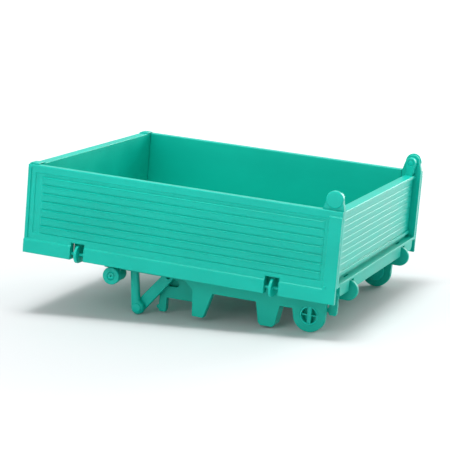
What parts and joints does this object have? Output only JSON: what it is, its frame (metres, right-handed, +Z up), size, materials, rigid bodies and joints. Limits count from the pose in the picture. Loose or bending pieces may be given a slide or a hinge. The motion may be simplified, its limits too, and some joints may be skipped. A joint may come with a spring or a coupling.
{
  "type": "dropside tipping trailer body",
  "caption": "Toy dropside tipping trailer body with ribbed side flaps hinged at the bottom, a top-hung tailgate, tipping pivots, folding stays and guide rollers underneath.",
  "frame": {"origin": "middle of the overall length and width, at the height of the folded stays' feet, the lowest points", "axes": "+X to the rear (tailgate), +Y to the right-hand side of travel, +Z up, square to the floor of the bed"},
  "size_m": [0.1636, 0.1482, 0.079],
  "materials": {
    "moulded_body": "semi-gloss turquoise injection-moulded plastic",
    "moulded_underframe": "semi-gloss turquoise injection-moulded plastic, slightly coarser mould texture",
    "moulded_pin": "polished turquoise moulded plastic pins and bushes"
  },
  "bodies": {
    "bed": {"floor_plate": "moulded_underframe", "front_wall": "moulded_body", "front_post_left": "moulded_body", "front_post_right": "moulded_body", "rear_post_left": "moulded_body", "rear_post_right": "moulded_body", "rear_sill": "moulded_underframe", "hinge_ears_left": "moulded_underframe", "hinge_ears_right": "moulded_underframe", "beam_left": "moulded_underframe", "beam_right": "moulded_underframe", "inner_rail_left": "moulded_underframe", "inner_rail_right": "moulded_underframe", "front_cross_member": "moulded_underframe", "middle_cross_member": "moulded_underframe", "rear_cross_member": "moulded_underframe", "hook_bracket_left": "moulded_underframe", "hook_bracket_right": "moulded_underframe", "rear_hook": "moulded_underframe", "pivot_bush_left": "moulded_pin", "pivot_bush_right": "moulded_pin", "roller_axle_left": "moulded_pin", "roller_axle_right": "moulded_pin", "stay_pin_left": "moulded_pin", "stay_pin_right": "moulded_pin", "tailgate_pin_left": "moulded_pin", "tailgate_pin_right": "moulded_pin"},
    "left_flap": {"side_flap_left": "moulded_body", "flap_pins_left": "moulded_pin"},
    "left_roller": {"guide_roller_left": "moulded_body"},
    "left_stay_upper": {"stay_upper_link_left": "moulded_body", "knee_pin_left": "moulded_pin"},
    "left_stay_lower": {"stay_lower_link_left": "moulded_body"},
    "right_flap": {"side_flap_right": "moulded_body", "flap_pins_right": "moulded_pin"},
    "right_roller": {"guide_roller_right": "moulded_body"},
    "right_stay_upper": {"stay_upper_link_right": "moulded_body", "knee_pin_right": "moulded_pin"},
    "right_stay_lower": {"stay_lower_link_right": "moulded_body"},
    "tailgate": {"tailgate": "moulded_body"}
  },
  "joints": [
    {"name": "left_flap_hinge", "type": "hinge", "parent": "bed", "child": "left_flap", "pos_m": [-0.00185, -0.0697, 0.0293], "axis": [1, 0, 0], "range_deg": [0, 170]},
    {"name": "left_roller_spin", "type": "hinge", "parent": "bed", "child": "left_roller", "pos_m": [-0.03845, -0.0601, 0.0192], "axis": [0, 1, 0], "continuous": true},
    {"name": "left_stay_fold", "type": "hinge", "parent": "bed", "child": "left_stay_upper", "pos_m": [-0.03045, -0.05225, 0.0248], "axis": [0, -1, 0], "range_deg": [0, 45]},
    {"name": "left_stay_knee", "type": "hinge", "parent": "left_stay_upper", "child": "left_stay_lower", "pos_m": [-0.02695, -0.04905, 0.0034], "axis": [0, 1, 0], "range_deg": [0, 140]},
    {"name": "right_flap_hinge", "type": "hinge", "parent": "bed", "child": "right_flap", "pos_m": [-0.00185, 0.0697, 0.0293], "axis": [-1, 0, 0], "range_deg": [0, 170]},
    {"name": "right_roller_spin", "type": "hinge", "parent": "bed", "child": "right_roller", "pos_m": [-0.03845, 0.0601, 0.0192], "axis": [0, 1, 0], "continuous": true},
    {"name": "right_stay_fold", "type": "hinge", "parent": "bed", "child": "right_stay_upper", "pos_m": [-0.03045, 0.05225, 0.0248], "axis": [0, -1, 0], "range_deg": [0, 45]},
    {"name": "right_stay_knee", "type": "hinge", "parent": "right_stay_upper", "child": "right_stay_lower", "pos_m": [-0.02695, 0.04905, 0.0034], "axis": [0, 1, 0], "range_deg": [0, 140]},
    {"name": "tailgate_pivot", "type": "hinge", "parent": "bed", "child": "tailgate", "pos_m": [0.07315, 0, 0.0748], "axis": [0, -1, 0], "range_deg": [0, 80]}
  ],
  "couplings": [
    {"joint": "left_stay_knee", "follows": "left_stay_fold", "ratio": 3.1},
    {"joint": "right_stay_knee", "follows": "right_stay_fold", "ratio": 3.1}
  ]
}
